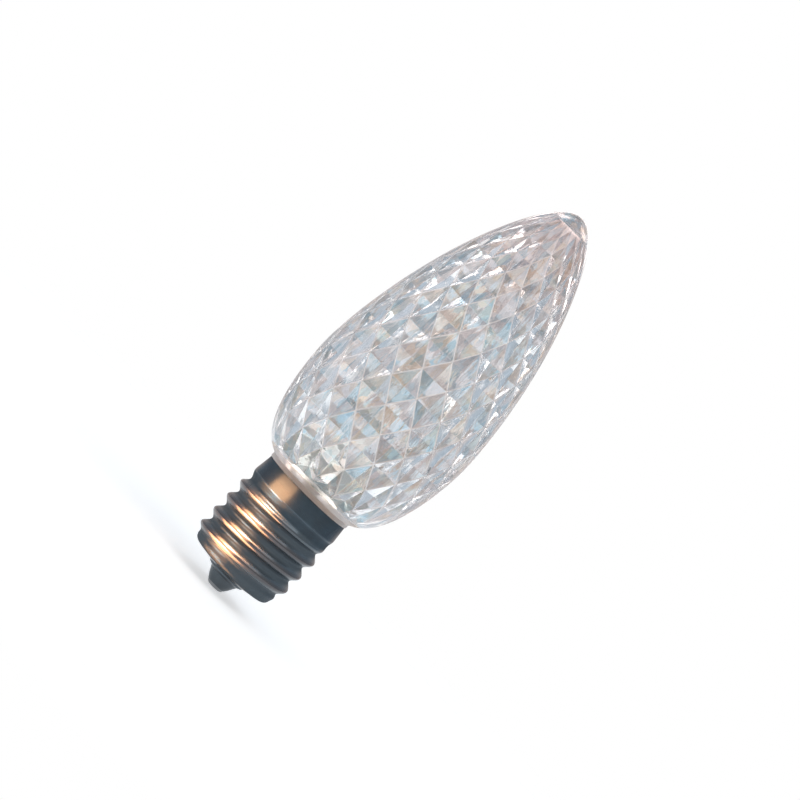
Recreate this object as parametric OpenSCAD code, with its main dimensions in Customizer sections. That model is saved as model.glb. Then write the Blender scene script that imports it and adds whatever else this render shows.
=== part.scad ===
// Clear Christmas light bulb of the large cone shape, with a diamond pattern cut in its lens
// and an intermediate screw base. Five small lamps inside it light the lens.
// The origin is the middle of the centre contact's flat foot, and +Z runs up the axis to the tip.

/* [Lens] */
// Widest diameter of the lens
lens_d = 28.2; // [24:0.1:32]
// Height of the lens above the collar's rim
lens_h = 57.2; // [50:0.1:64]
// Height of the widest place above the collar's rim
lens_waist_h = 18.2; // [15:0.1:22]
// Diameter of the neck that shows above the collar
neck_d = 15.5; // [15.3:0.1:16]
// Length of the plug that goes down into the collar
plug_l = 4.4; // [4:0.1:4.8]
// Wall of the plug round its bore
plug_wall = 0.7; // [0.6:0.05:0.8]
// Wall of the lens at the edges of the diamonds
lens_wall = 1.3; // [1:0.05:1.6]
// Diamonds in one row round the lens
diamonds_round = 16; // [12:1:20]
// Half rows of diamonds from the heel to the tip
diamond_rows = 15; // [11:1:18]
// Height of a diamond's pyramid against half its width
diamond_slope = 0.36; // [0.2:0.02:0.42]
// Angle by which the pattern is turned round the axis
diamond_turn = 18.25; // [0:0.25:22.5]
// Height of the first whole row of diamonds above the collar's rim
first_row_h = 2.75; // [2.4:0.05:3.2]
// Depth of the last row of diamonds below the tip
last_row_drop = 1.9; // [1.6:0.1:2.6]

/* [Screw shell] */
// Outside diameter over the thread's crests
thread_d = 16.6; // [16.4:0.05:17]
// Depth of the rolled thread
thread_depth = 0.95; // [0.7:0.05:1]
// Rise of the thread in one turn
thread_pitch = 2.822; // [2.6:0.002:3]
// Thickness of the stamped sheet
shell_wall = 0.3; // [0.2:0.02:0.34]
// Diameter of the collar at its rim
collar_d = 15.2; // [15.2:0.1:15.5]
// Diameter of the collar where it bulges, above the last groove
collar_bulge_d = 15.9; // [15.6:0.1:16.4]
// Height of the collar's rim above the contact's foot
rim_z = 20; // [19.4:0.1:20.6]
// Depth of the last groove below the collar's rim
groove_drop = 4.4; // [4.2:0.1:4.8]
// Depth of the widest part of the collar below its rim
bulge_drop = 2.9; // [2.6:0.1:3.1]
// Height of the shell's foot above the contact's foot
foot_z = 3.45; // [3.2:0.05:3.6]
// Diameter of the opening in the foot
foot_hole_d = 12.4; // [11:0.1:12.8]

/* [Insulator and contact] */
// Height of the insulator's flat underside above the contact's foot
insulator_z = 2.75; // [2.4:0.05:2.9]
// Height of the insulator's top
insulator_top_z = 5; // [4.7:0.1:5.2]
// Diameter of the contact's flange
contact_d = 6.6; // [5.6:0.1:8]
// Diameter of the eyelet's tube where it passes through the insulator
eyelet_d = 3.2; // [3:0.1:3.6]
// Wall of the eyelet's tube
eyelet_wall = 0.4; // [0.3:0.05:0.5]
// Height of the solder that stands out below the eyelet
solder_bead_h = 0.5; // [0.3:0.05:0.7]
// Diameter of the solder's flat foot
solder_foot_d = 2.2; // [1.6:0.1:2.4]

/* [Lamps and holder] */
// Height of the holder's flat top
holder_top_z = 23; // [22.5:0.1:26]
// Wall of the holder
holder_wall = 0.9; // [0.7:0.05:1.1]
// Thickness of the holder's flange
holder_flange_t = 1.2; // [0.8:0.1:1.4]
// Diameter of a small lamp's body
lamp_d = 3; // [2.8:0.05:3.05]
// Height of a small lamp's body
lamp_h = 4; // [3.6:0.1:5]
// Angle by which the outer lamps lean out
lamp_lean = 15; // [8:1:16]
// Distance between a lamp's two legs
leg_pitch = 2.54; // [2.4:0.02:2.6]
// Width of a square leg
leg_w = 0.45; // [0.35:0.05:0.5]

/* [Board and parts] */
// Gap between the circuit board's edge and the inside of the shell
board_gap = 0.25; // [0.2:0.05:0.4]
// Thickness of the circuit board
board_t = 1.6; // [1.2:0.1:1.7]
// Diameter of the dropper resistor's body
resistor_d = 2.9; // [2.4:0.1:3.4]
// Diameter of the resistor's leads and of the bare wire
lead_d = 0.55; // [0.4:0.05:0.6]
// Diameter of the neutral wire over its insulation
wire_d = 1; // [0.8:0.05:1.1]

/* [Fits] */
// Clearance between pieces that slide together by hand
slide_fit = 0.1; // [0.06:0.02:0.14]
// Thickness of the adhesive round the lens's plug
glue_t = 0.25; // [0.2:0.02:0.28]
// Gap left round a part that hangs near the shell
air_gap = 0.15; // [0.1:0.02:0.2]

/* [Hidden] */
$fn = 72;
lamp_count = 5;
LAMPS = [for (n = [1:lamp_count]) n];
over = 0.5;

// The lens's outline. Below the waist it is a fuller curve than above it, where it closes to the tip.
lens_r = lens_d / 2;
neck_r = neck_d / 2;
nose_h = lens_h - lens_waist_h;
heel_bow = 1.75;
heel_close = 0.22;
nose_bow = 1.6;
nose_close = 0.6;
nose_round = 0.06;
nose_round_reach = 12;
heel_steps = 16;
nose_steps = 28;
neck_share = pow(1 - pow(neck_r / lens_r, 1 / heel_close), 1 / heel_bow);

// A point below the waist: down runs from 0 at the waist to 1 at the rim
function heel_point(down) = [
    lens_r * pow(1 - pow(down, heel_bow), heel_close),
    rim_z + lens_waist_h * (1 - down)
];

// A point above the waist: up runs from 0 at the waist to 1 at the tip
function nose_point(up) =
    let (close = nose_close - nose_round * pow(up, nose_round_reach))
    [
        lens_r * pow(max(0, 1 - pow(up, nose_bow)), close),
        rim_z + lens_waist_h + nose_h * up
    ];

lens_outline = concat(
    [for (k = [0:heel_steps]) heel_point(neck_share * cos(90 * k / heel_steps))],
    [for (k = [1:nose_steps]) nose_point(sin(90 * k / nose_steps))]
);
outline_last = len(lens_outline) - 1;

// Length along the outline up to each of its points
lens_run = [
    for (k = 0, run = 0; k <= outline_last;
        run = run + (k < outline_last ? norm(lens_outline[k + 1] - lens_outline[k]) : 0), k = k + 1)
    run
];
normal_reach = 0.3;
run_to_r = [for (k = [0:outline_last]) [lens_run[k], lens_outline[k][0]]];
run_to_z = [for (k = [0:outline_last]) [lens_run[k], lens_outline[k][1]]];
z_to_run = [for (k = [0:outline_last]) [lens_outline[k][1], lens_run[k]]];

function on_outline(run) = [lookup(run, run_to_r), lookup(run, run_to_z)];

// The direction out of the lens at one place along the outline
function outline_normal(run) =
    let (way = on_outline(run + normal_reach) - on_outline(run - normal_reach))
    [way[1], -way[0]] / norm(way);

// The rows of diamonds rise evenly, and close up a little towards the tip. Row -1 is the ring
// where the plain band cuts off the diamonds below the first row.
first_row_z = rim_z + first_row_h;
rows_h = lens_h - first_row_h - last_row_drop;
row_close = 0.08;
row_close_reach = 7;
band_cut = 0.26;
columns = 2 * diamonds_round;
column_turn = 360 / columns;
row_last = diamond_rows;

function whole_row_z(share) =
    first_row_z + rows_h * ((1 + row_close) * share - row_close * pow(share, row_close_reach));
cut_row_z = first_row_z - band_cut * (whole_row_z(1 / row_last) - first_row_z);
row_runs = [
    for (row = [-1:row_last])
        lookup(row < 0 ? cut_row_z : whole_row_z(row / row_last), z_to_run)
];

// Half the width of a diamond, where the lens has this radius
function half_width(radius) = radius * sin(column_turn);

function is_apex(row, column) = (row + column) % 2 == 1;

// How far a point stands in, as a share of a whole apex: the cut ring passes low on one ridge
// and high on the next
function stand_share(row, column) =
    row < 0 ? (column % 2 == 0 ? band_cut : 1 - band_cut)
    : is_apex(row, column) && row < row_last ? 1 : 0;

// A point of the inner face. An apex stands in from the diamond's edges.
function facet_point(row, column) =
    let (
        run = row_runs[row + 1],
        normal = outline_normal(run),
        edge = on_outline(run) - lens_wall * normal,
        rise = stand_share(row, column) * diamond_slope * half_width(edge[0]),
        place = edge - rise * (row < 0 ? [1, 0] : normal),
        turn = diamond_turn + column * column_turn
    )
    [place[0] * cos(turn), place[0] * sin(turn), place[1]];

function ring_index(row, column) = (row + 1) * columns + (column + columns) % columns;

// The facets round an apex: four, or two in the last row, and six over the cut ring
function facets_round(row, column) =
    let (
        apex = ring_index(row, column),
        right = ring_index(row, column + 1),
        left = ring_index(row, column - 1),
        above = ring_index(row + 1, column),
        below = ring_index(row - 1, column),
        cut_right = ring_index(row - 1, column + 1),
        cut_left = ring_index(row - 1, column - 1)
    )
    concat(
        row < row_last ? [[apex, above, right], [apex, left, above]] : [],
        row > 0 ? [[apex, right, below], [apex, below, left]] : [
            [apex, right, cut_right],
            [apex, cut_right, below],
            [apex, below, cut_left],
            [apex, cut_left, left]
        ]
    );

cavity_tip = (row_last + 2) * columns;
cavity_points = concat(
    [for (row = [-1:row_last], column = [0:columns - 1]) facet_point(row, column)],
    [[0, 0, rim_z + lens_h - lens_wall]]
);
cavity_faces = concat(
    [
        for (row = [0:row_last], column = [0:columns - 1])
            if (is_apex(row, column))
                for (facet = facets_round(row, column)) facet
    ],
    [[for (column = [0:columns - 1]) ring_index(-1, column)]],
    [
        for (column = [0:columns - 1])
            [ring_index(row_last, column), cavity_tip, ring_index(row_last, column + 1)]
    ]
);
cavity_floor_z = facet_point(-1, 0)[2];

// The plug and what fits in it. The plug and the board go in through the collar's narrowest place.
collar_inside_r = min(collar_d, collar_bulge_d) / 2 - shell_wall;
plug_r = collar_inside_r - glue_t - slide_fit;
plug_z = rim_z - plug_l;
bore_r = plug_r - plug_wall;
plug_lead_in = 0.2;
glue_drop = 0.5;

// The screw shell's outline, from the foot's opening up to the rim, as radius, height and thread share
thread_r = thread_d / 2 - thread_depth / 2;
thread_wave = thread_depth / 2;
foot_hole_r = foot_hole_d / 2;
foot_corner_r = 0.9;
foot_corner_h = 0.95;
foot_top_r = thread_r - thread_wave;
foot_top_z = foot_z + foot_corner_h;
thread_in_l = 1.2;
groove_z = rim_z - groove_drop;
groove_r = collar_d / 2;
bulge_z = rim_z - bulge_drop;
bulge_r = collar_bulge_d / 2;
thread_end_drop = 1;
thread_end_z = groove_z - thread_end_drop;
thread_fade = [0.62, 0.34, 0.2, 0.08];
collar_round = 0.06;
collar_round_h = 0.5;
turn_steps = 8;
shell_sides = 36;
foot_steps = 4;
thread_steps = ceil((thread_end_z - foot_top_z) / thread_pitch * turn_steps);
// Height of a crest on the -X side, which sets where the thread starts
crest_z = 5.7;
crest_turn = 180;

function ease(share) = share <= 0 ? 0 : share >= 1 ? 1 : share * share * (3 - 2 * share);

function thread_station(z) =
    let (share = ease((z - foot_top_z) / thread_in_l))
    [foot_top_r + (thread_r - foot_top_r) * share, z, share];

collar_stations = [
    [groove_r + collar_round, groove_z - collar_round_h, thread_fade[0]],
    [groove_r, groove_z, thread_fade[1]],
    [(groove_r + bulge_r) / 2, (groove_z + bulge_z) / 2, thread_fade[2]],
    [bulge_r - collar_round / 2, bulge_z - collar_round_h / 2, thread_fade[3]],
    [bulge_r, bulge_z, 0],
    [bulge_r - collar_round, bulge_z + collar_round_h, 0],
    [(bulge_r + groove_r) / 2, (bulge_z + rim_z) / 2, 0],
    [groove_r, rim_z, 0]
];

shell_outline = concat(
    [[foot_hole_r, foot_z, 0]],
    [
        for (k = [0:foot_steps])
            let (turn = 90 * k / foot_steps)
            [
                foot_top_r - foot_corner_r * (1 - sin(turn)),
                foot_top_z - foot_corner_h * cos(turn),
                0
            ]
    ],
    [
        for (k = [1:thread_steps])
            thread_station(foot_top_z + (thread_end_z - foot_top_z) * k / thread_steps)
    ],
    collar_stations
);
shell_last = len(shell_outline) - 1;

// The outline's direction into the metal at one station
function shell_inward(k) =
    let (
        low = shell_outline[max(0, k - 1)],
        high = shell_outline[min(shell_last, k + 1)],
        way = [high[0] - low[0], high[1] - low[1]]
    )
    (k == shell_last ? [-1, 0] : k == 0 ? [0, 1] : [-way[1], way[0]] / norm(way));

// A closed loop round the sheet's section: up the outside and down the inside
shell_loop = concat(
    shell_outline,
    [
        for (k = [shell_last:-1:0])
            let (inward = shell_inward(k) * shell_wall)
            [shell_outline[k][0] + inward[0], shell_outline[k][1] + inward[1], shell_outline[k][2]]
    ]
);
shell_rings = len(shell_loop);

// How far the thread stands out or in at one height and angle: it rises to the right, as on any bulb
function thread_offset(z, turn) =
    thread_wave * cos(turn - crest_turn - 360 * (z - crest_z) / thread_pitch);

function shell_point(ring, side) =
    let (
        station = shell_loop[ring],
        turn = 360 * side / shell_sides,
        radius = station[0] + station[2] * thread_offset(station[1], turn)
    )
    [radius * cos(turn), radius * sin(turn), station[1]];

function shell_index(ring, side) = (ring % shell_rings) * shell_sides + side % shell_sides;

shell_points = [for (ring = [0:shell_rings - 1], side = [0:shell_sides - 1]) shell_point(ring, side)];
shell_faces = [
    for (ring = [0:shell_rings - 1], side = [0:shell_sides - 1])
        let (
            low_left = shell_index(ring, side),
            high_left = shell_index(ring + 1, side),
            high_right = shell_index(ring + 1, side + 1),
            low_right = shell_index(ring, side + 1)
        )
        for (face = [[low_left, high_left, high_right], [low_left, high_right, low_right]]) face
];

// Insulator and contact
shell_inside_r = foot_top_r - shell_wall;
insulator_r = shell_inside_r - air_gap;
lip_top_z = foot_z + shell_wall;
spigot_chamfer = 0.05;
eyelet_r = eyelet_d / 2;
eyelet_bore_r = eyelet_r - eyelet_wall;
contact_r = contact_d / 2;
contact_flange_t = 0.2;
contact_waist_r = 2.35;
contact_waist_z = 1.75;
contact_shoulder_out = 0.3;
contact_shoulder_h = 0.5;
contact_foot_r = 1.6;
contact_bell = 0.05;
clinch_out = 0.8;
clinch_r = eyelet_r + clinch_out;
clinch_t = 0.3;
clinch_chamfer = 0.1;
solder_fill_h = 1;
solder_top_z = insulator_z + solder_fill_h;
solder_inset = 0.05;
solder_swell = 0.04;
lead_r = lead_d / 2;
lead_foot_z = 1.5;

// Holder, board and lamps
holder_r = bore_r - slide_fit;
flange_z = plug_z - holder_flange_t;
board_r = min(shell_inside_r, collar_inside_r) - board_gap;
roof_flat = 1.9;
roof_t = 2.8;
lamp_r = lamp_d / 2;
lamp_flange_out = 0.2;
lamp_flange_r = lamp_r + lamp_flange_out;
lamp_flange_t = 1;
lamp_gap = 0.05;
lamp_dish_r = 1.1;
lamp_dish_h = 0.7;
seat_x = roof_flat + (lamp_flange_r + lamp_gap) * cos(lamp_lean);
seat_z = holder_top_z - (seat_x - roof_flat) * tan(lamp_lean);
leg_lean_l = 3;
leg_hole_r = leg_w * 0.75 + slide_fit;
bend_x = seat_x - leg_lean_l * sin(lamp_lean);
bend_z = seat_z - leg_lean_l * cos(lamp_lean);
board_top_z = flange_z;
board_z = board_top_z - board_t;
fillet_r = 0.6;
fillet_h = 0.55;
leg_stub = 0.7;
leg_foot_z = board_z - leg_stub;

// The cup and post that hold a lamp's chip
post_w = 0.35;
post_x = 0.75;
cup_x = -0.35;
cup_r = 0.65;
cup_h = 0.7;
cup_top = 2;
cup_sink = 0.1;
bridge_z = 0.45;
bridge_t = 0.3;
bead_r = 0.5;
bead_depth = 0.35;

// Resistor, diode and wire
resistor_r = resistor_d / 2;
resistor_cap_out = 0.2;
resistor_waist_r = resistor_r - resistor_cap_out;
resistor_cap_l = 1.2;
resistor_cap_ease = 0.3;
resistor_end_ease = 0.25;
resistor_stand = 0.6;
resistor_hang = 0.45;
resistor_z = insulator_top_z + clinch_t + resistor_stand;
resistor_top_z = board_z - fillet_h - resistor_hang;
diode_l = 2.7;
diode_w = 1.6;
diode_h = 1.1;
diode_turn = 45;
// The diode lies between two pairs of legs, just outside their fillets
diode_gap = 0.65;
leg_reach = bend_x * cos(diode_turn) + leg_pitch / 2 * sin(diode_turn);
diode_place_r = leg_reach + fillet_r + diode_gap + diode_w / 2;
tab_l = 0.45;
tab_w = 0.8;
tab_t = 0.2;
wire_turn = 135;
wire_inset = 0.8;
wire_place_r = board_r - wire_inset;
wire_r = wire_d / 2;
core_r = lead_r;
// Height of the thread's crest nearest to the middle of the shell, where the wire hangs
solder_turns = floor((board_z - crest_z) / thread_pitch / 2 + 0.5);
shell_solder_z = crest_z + thread_pitch * (solder_turns + (wire_turn - crest_turn) / 360);
shell_solder_r = 0.8;
shell_solder_out = thread_r + thread_wave - shell_wall - air_gap - shell_solder_r;
wire_foot_z = shell_solder_z + shell_solder_r;

// One hollow moulding: smooth outside, with the diamonds standing in from its inner face
module lens() {
    color([0.82, 0.88, 0.92, 0.4])
    difference() {
        rotate_extrude()
            polygon(concat(
                [
                    [0, plug_z],
                    [plug_r - plug_lead_in, plug_z],
                    [plug_r, plug_z + plug_lead_in],
                    [plug_r, rim_z],
                    [neck_r, rim_z]
                ],
                lens_outline
            ));
        polyhedron(points = cavity_points, faces = cavity_faces, convexity = 10);
        translate([0, 0, plug_z - over])
            cylinder(h = cavity_floor_z - plug_z + 2 * over, r = bore_r);
    }
}

// The ring of adhesive that bonds the plug into the collar
module neck_adhesive() {
    glue_z = bulge_z - glue_drop;
    color([0.85, 0.82, 0.7])
    translate([0, 0, glue_z])
        difference() {
            cylinder(h = rim_z - glue_z, r = plug_r + glue_t);
            translate([0, 0, -over])
                cylinder(h = rim_z - glue_z + 2 * over, r = plug_r);
        }
}

// One thin sheet: curled-in foot, rolled thread that runs out in a groove, and collar
module screw_shell() {
    color([0.2, 0.25, 0.29])
    polyhedron(points = shell_points, faces = shell_faces, convexity = 10);
}

// Moulded disc that sits on the shell's curled foot and holds the eyelet
module base_insulator() {
    spigot_r = foot_hole_r - slide_fit;
    corner_r = foot_top_r - foot_corner_r - slide_fit;
    color([0.08, 0.09, 0.1])
    rotate_extrude()
        polygon([
            [eyelet_r, insulator_z],
            [contact_r, insulator_z],
            [spigot_r, foot_z - spigot_chamfer],
            [spigot_r, lip_top_z],
            [corner_r, lip_top_z],
            [insulator_r, foot_top_z],
            [insulator_r, insulator_top_z],
            [eyelet_r, insulator_top_z]
        ]);
}

// Pressed eyelet: bell-shaped foot, flange under the insulator, and a head clinched over its top
module centre_contact() {
    color([0.3, 0.28, 0.25])
    rotate_extrude()
        polygon([
            [eyelet_bore_r, solder_bead_h],
            [contact_foot_r, solder_bead_h],
            [
                (contact_foot_r + contact_waist_r) / 2 + contact_bell,
                (solder_bead_h + contact_waist_z) / 2
            ],
            [contact_waist_r, contact_waist_z],
            [contact_waist_r + contact_shoulder_out, contact_waist_z + contact_shoulder_h],
            [contact_r, insulator_z - contact_flange_t],
            [contact_r, insulator_z],
            [eyelet_r, insulator_z],
            [eyelet_r, insulator_top_z],
            [clinch_r, insulator_top_z],
            [clinch_r - clinch_chamfer, insulator_top_z + clinch_t],
            [eyelet_bore_r, insulator_top_z + clinch_t]
        ]);
}

// Solder that closes the eyelet round the resistor's lead, with the flat foot that meets the socket
module contact_solder() {
    foot_r = solder_foot_d / 2;
    bead_out_r = contact_foot_r - solder_inset;
    color([0.42, 0.43, 0.44])
    rotate_extrude()
        polygon([
            [0, 0],
            [foot_r, 0],
            [(foot_r + bead_out_r) / 2 + solder_swell, solder_bead_h * 0.3],
            [bead_out_r, solder_bead_h],
            [eyelet_bore_r, solder_bead_h],
            [eyelet_bore_r, solder_top_z],
            [lead_r, solder_top_z],
            [lead_r, lead_foot_z],
            [0, lead_foot_z]
        ]);
}

// Where each lamp stands: the first upright in the middle, the others leaning out round it
module at_lamp(n) {
    if (n == 1) {
        translate([0, 0, holder_top_z]) children();
    } else {
        rotate([0, 0, 90 * (n - 2)])
            translate([seat_x, 0, seat_z])
                rotate([0, lamp_lean, 0])
                    rotate([0, 0, 90])
                        children();
    }
}

// Where each leg passes down through the board, from a given height
module at_leg_feet(n, z) {
    for (side = [-1, 1])
        if (n == 1) {
            translate([side * leg_pitch / 2, 0, z]) children();
        } else {
            rotate([0, 0, 90 * (n - 2)])
                translate([bend_x, side * leg_pitch / 2, z]) children();
        }
}

// Moulded cup: flange under the lens's plug, barrel in its bore, and a hipped roof with five seats
module led_holder() {
    cup_top_z = holder_top_z - roof_t;
    barrel_z = plug_z - holder_flange_t / 2;
    color([0.9, 0.9, 0.88])
    difference() {
        union() {
            translate([0, 0, flange_z])
                cylinder(h = holder_flange_t, r = board_r);
            translate([0, 0, barrel_z])
                cylinder(h = holder_top_z - barrel_z, r = holder_r);
        }
        for (turn = [0:90:270])
            rotate([0, 0, turn])
                translate([roof_flat, -lens_r, holder_top_z])
                    rotate([0, lamp_lean, 0])
                        cube([lens_r, lens_d, lens_r]);
        translate([0, 0, flange_z - over])
            cylinder(h = cup_top_z - flange_z + over, r = holder_r - holder_wall);
        for (n = LAMPS)
            at_lamp(n)
                for (side = [-1, 1])
                    translate([side * leg_pitch / 2, 0, -roof_t - over])
                        cylinder(h = roof_t + 2 * over, r = leg_hole_r, $fn = 24);
    }
}

// Round board with a hole for each leg, lead and wire
module circuit_board() {
    color([0.1, 0.4, 0.22])
    difference() {
        translate([0, 0, board_z])
            cylinder(h = board_t, r = board_r);
        for (n = LAMPS)
            at_leg_feet(n, board_z - over)
                cylinder(h = board_t + 2 * over, r = leg_hole_r, $fn = 24);
        translate([0, 0, board_z - over])
            cylinder(h = board_t + 2 * over, r = lead_r + slide_fit, $fn = 24);
        rotate([0, 0, wire_turn])
            translate([wire_place_r, 0, board_z - over])
                cylinder(h = board_t + 2 * over, r = core_r + slide_fit, $fn = 24);
    }
}

// A solder fillet hangs under the board at the origin's height
module fillet() {
    translate([0, 0, -fillet_h])
        cylinder(h = fillet_h, r1 = leg_w, r2 = fillet_r, $fn = 32);
}

// The fillets round the legs, the resistor's lead and the wire
module board_solder() {
    color([0.7, 0.71, 0.72]) {
        for (n = LAMPS)
            at_leg_feet(n, board_z)
                difference() {
                    fillet();
                    translate([-leg_w / 2, -leg_w / 2, -2 * fillet_h])
                        cube([leg_w, leg_w, 4 * fillet_h]);
                }
        for (place = [[0, 0], [wire_place_r, wire_turn]])
            rotate([0, 0, place[1]])
                translate([place[0], 0, board_z])
                    difference() {
                        fillet();
                        translate([0, 0, -2 * fillet_h])
                            cylinder(h = 4 * fillet_h, r = lead_r, $fn = 24);
                    }
    }
}

// Metal inside a lamp, above its seat: two bridges, the post, and the cup that holds the bead
module lamp_frame() {
    half_leg = leg_w / 2;
    for (side = [-1, 1])
        translate([side * leg_pitch / 2 - half_leg, -half_leg, 0])
            cube([leg_w, leg_w, bridge_z + bridge_t]);
    translate([post_x - post_w / 2, -post_w / 2, bridge_z])
        cube([leg_pitch / 2 - post_x + post_w / 2, post_w, bridge_t]);
    translate([post_x - post_w / 2, -post_w / 2, bridge_z])
        cube([post_w, post_w, cup_top - bridge_z]);
    translate([-leg_pitch / 2, -post_w / 2, bridge_z])
        cube([leg_pitch / 2 + cup_x + post_w / 2, post_w, bridge_t]);
    translate([cup_x - post_w / 2, -post_w / 2, bridge_z])
        cube([post_w, post_w, cup_top - cup_h - bridge_z + cup_sink]);
    translate([cup_x, 0, cup_top - cup_h])
        difference() {
            cylinder(h = cup_h, r = cup_r, $fn = 24);
            lamp_bead_at(cup_h);
        }
}

// The bead fills the cup's cone, level with its top
module lamp_bead_at(top) {
    translate([0, 0, top - bead_depth])
        cylinder(h = bead_depth, r1 = bead_r * 0.6, r2 = bead_r, $fn = 24);
}

// Clear moulded body with a dished top
module led(n) {
    color([0.85, 0.9, 0.95, 0.6])
    at_lamp(n)
        difference() {
            rotate_extrude($fn = 36)
                polygon([
                    [0, 0],
                    [lamp_flange_r, 0],
                    [lamp_flange_r, lamp_flange_t],
                    [lamp_r, lamp_flange_t],
                    [lamp_r, lamp_h],
                    [lamp_dish_r, lamp_h],
                    [0, lamp_h - lamp_dish_h]
                ]);
            lamp_frame();
            translate([cup_x, 0, 0])
                lamp_bead_at(cup_top);
        }
}

// A lamp's two legs: the cup and the post inside it, then down through the holder to the board
module led_legs(n) {
    half_leg = leg_w / 2;
    straight_l = n == 1 ? holder_top_z - leg_foot_z : leg_lean_l;
    color([0.75, 0.76, 0.78]) {
        at_lamp(n) {
            lamp_frame();
            for (side = [-1, 1])
                translate([side * leg_pitch / 2 - half_leg, -half_leg, -straight_l])
                    cube([leg_w, leg_w, straight_l + bridge_z]);
        }
        if (n > 1)
            at_leg_feet(n, leg_foot_z)
                translate([-half_leg, -half_leg, 0])
                    cube([leg_w, leg_w, bend_z - leg_foot_z + half_leg]);
    }
}

// The phosphor bead that glows yellow in the cup
module led_phosphor(n) {
    color([0.95, 0.8, 0.2])
    at_lamp(n)
        translate([cup_x, 0, 0])
            lamp_bead_at(cup_top);
}

// Axial resistor that stands on the axis, thicker over its end caps
module dropper_resistor() {
    body_l = resistor_top_z - resistor_z;
    color([0.75, 0.6, 0.42])
    translate([0, 0, resistor_z])
        rotate_extrude()
            polygon([
                [0, 0],
                [resistor_waist_r, 0],
                [resistor_r, resistor_end_ease],
                [resistor_r, resistor_cap_l],
                [resistor_waist_r, resistor_cap_l + resistor_cap_ease],
                [resistor_waist_r, body_l - resistor_cap_l - resistor_cap_ease],
                [resistor_r, body_l - resistor_cap_l],
                [resistor_r, body_l - resistor_end_ease],
                [resistor_waist_r, body_l],
                [0, body_l]
            ]);
}

// The resistor's two leads: one down into the contact's solder, one up through the board
module resistor_leads() {
    color([0.75, 0.76, 0.78]) {
        translate([0, 0, lead_foot_z])
            cylinder(h = resistor_z - lead_foot_z, r = lead_r, $fn = 24);
        translate([0, 0, resistor_top_z])
            cylinder(h = board_top_z - resistor_top_z, r = lead_r, $fn = 24);
    }
}

// Small diode on the board's underside
module rectifier_diode() {
    color([0.12, 0.12, 0.13])
    rotate([0, 0, diode_turn])
        translate([diode_place_r - diode_w / 2, -diode_l / 2, board_z - diode_h])
            difference() {
                cube([diode_w, diode_l, diode_h]);
                for (end = [0, diode_l - tab_l])
                    translate([(diode_w - tab_w) / 2, end, diode_h - tab_t])
                        cube([tab_w, tab_l, tab_t]);
            }
}

// The diode's two metal tabs, soldered flat on the board
module diode_tabs() {
    color([0.75, 0.76, 0.78])
    rotate([0, 0, diode_turn])
        for (side = [-1, 1])
            translate([
                diode_place_r - tab_w / 2,
                side * (diode_l / 2) - tab_l,
                board_z - tab_t
            ])
                cube([tab_w, 2 * tab_l, tab_t]);
}

// Insulation of the neutral wire
module neutral_wire() {
    color([0.9, 0.9, 0.9])
    rotate([0, 0, wire_turn])
        translate([wire_place_r, 0, wire_foot_z])
            difference() {
                cylinder(h = board_z - fillet_h - wire_foot_z, r = wire_r, $fn = 32);
                translate([0, 0, -over])
                    cylinder(h = board_z - wire_foot_z + 2 * over, r = core_r, $fn = 24);
            }
}

// Bare core of the neutral wire, from the shell's solder up through the board
module neutral_core() {
    color([0.72, 0.45, 0.25])
    rotate([0, 0, wire_turn])
        translate([wire_place_r, 0, shell_solder_z - core_r])
            cylinder(h = board_top_z - shell_solder_z + core_r, r = core_r, $fn = 24);
}

// Solder that joins the core to the inside of the shell, in the hollow of a crest
module shell_solder() {
    stem_r = shell_solder_r * 0.85;
    stem_in = wire_place_r - wire_r;
    color([0.7, 0.71, 0.72])
    rotate([0, 0, wire_turn])
        difference() {
            union() {
                translate([shell_solder_out, 0, shell_solder_z])
                    sphere(r = shell_solder_r, $fn = 32);
                translate([stem_in, 0, shell_solder_z])
                    rotate([0, 90, 0])
                        cylinder(h = shell_solder_out - stem_in, r = stem_r, $fn = 32);
            }
            translate([wire_place_r, 0, shell_solder_z - core_r])
                cylinder(h = shell_solder_r * 2, r = core_r, $fn = 24);
        }
}

lens();
neck_adhesive();
screw_shell();
base_insulator();
centre_contact();
contact_solder();
led_holder();
circuit_board();
board_solder();
dropper_resistor();
resistor_leads();
rectifier_diode();
diode_tabs();
neutral_wire();
neutral_core();
shell_solder();
for (n = LAMPS) {
    led(n);
    led_legs(n);
    led_phosphor(n);
}
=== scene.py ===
import math

import bpy
import numpy as np
from mathutils import Matrix, Vector


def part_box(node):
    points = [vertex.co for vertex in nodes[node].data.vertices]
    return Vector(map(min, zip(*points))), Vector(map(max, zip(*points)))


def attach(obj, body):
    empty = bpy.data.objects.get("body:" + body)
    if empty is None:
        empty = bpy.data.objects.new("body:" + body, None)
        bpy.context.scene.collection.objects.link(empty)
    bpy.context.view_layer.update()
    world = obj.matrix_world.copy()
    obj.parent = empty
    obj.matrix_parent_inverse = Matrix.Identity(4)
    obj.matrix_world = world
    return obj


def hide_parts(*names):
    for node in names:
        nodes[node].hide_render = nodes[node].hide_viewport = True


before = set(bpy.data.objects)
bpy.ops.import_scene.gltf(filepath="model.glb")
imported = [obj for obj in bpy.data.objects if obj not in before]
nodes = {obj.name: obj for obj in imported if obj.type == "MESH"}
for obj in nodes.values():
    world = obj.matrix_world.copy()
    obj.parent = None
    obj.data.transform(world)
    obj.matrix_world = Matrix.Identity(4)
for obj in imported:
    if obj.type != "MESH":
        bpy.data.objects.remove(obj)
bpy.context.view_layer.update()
mm = 0.001
print("frame loaded:", len(nodes), "nodes")


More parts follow.
